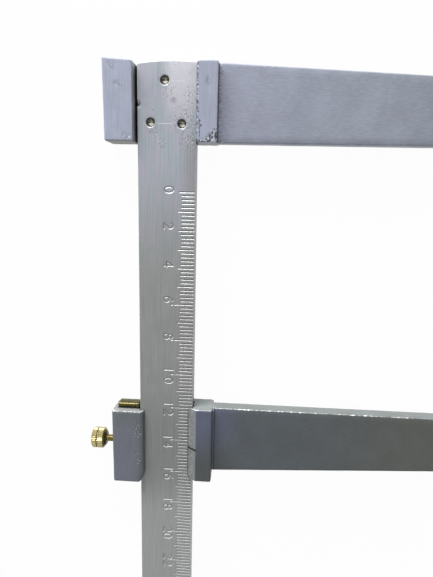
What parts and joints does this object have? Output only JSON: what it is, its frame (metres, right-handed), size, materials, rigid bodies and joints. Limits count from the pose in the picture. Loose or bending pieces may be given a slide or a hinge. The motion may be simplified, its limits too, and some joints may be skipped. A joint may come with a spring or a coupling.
{
  "type": "tree caliper",
  "caption": "Forestry caliper: a graduated flat metal beam with a fixed jaw at its head and a sliding jaw locked by a knurled brass thumb screw.",
  "frame": {"origin": "middle of the fixed jaw's flat back, on the beam's centre line: the plane z = 0 is the surface that the caliper lies on", "axes": "+X from the beam along the jaws' arms towards their tips; +Y along the beam towards its head, so the scale counts up towards -Y; +Z out of the graduated face, up from the surface that the caliper lies on"},
  "size_m": [0.3093, 0.6012, 0.016],
  "materials": {
    "beam_alloy": "satin",
    "fixed_jaw_paint": "satin",
    "sliding_jaw_paint": "satin",
    "gib_brass": "satin",
    "clamp_brass": "satin",
    "screw_steel": "satin"
  },
  "bodies": {
    "frame": {"beam": "beam_alloy", "fixed_jaw": "fixed_jaw_paint", "jaw_screw_upper": "screw_steel", "jaw_screw_left": "screw_steel", "jaw_screw_right": "screw_steel", "stop_screw": "screw_steel"},
    "slider": {"sliding_jaw": "sliding_jaw_paint"},
    "gib_strip": {"gib": "gib_brass"},
    "thumb_screw": {"clamp_screw": "clamp_brass"}
  },
  "joints": [
    {"name": "jaw_slide", "type": "slide", "parent": "frame", "child": "slider", "axis": [0, -1, 0], "range_m": [-0.144, 0.356]},
    {"name": "gib_press", "type": "slide", "parent": "slider", "child": "gib_strip", "axis": [1, 0, 0], "range_m": [0, 0.00035]},
    {"name": "clamp_turn", "type": "hinge", "parent": "gib_strip", "child": "thumb_screw", "pos_m": [-0.03, -0.1875, 0.008], "axis": [1, 0, 0], "range_deg": [0, 180]}
  ],
  "couplings": [
    {"joint": "clamp_turn", "follows": "gib_press", "rad_per_m": 8976}
  ]
}
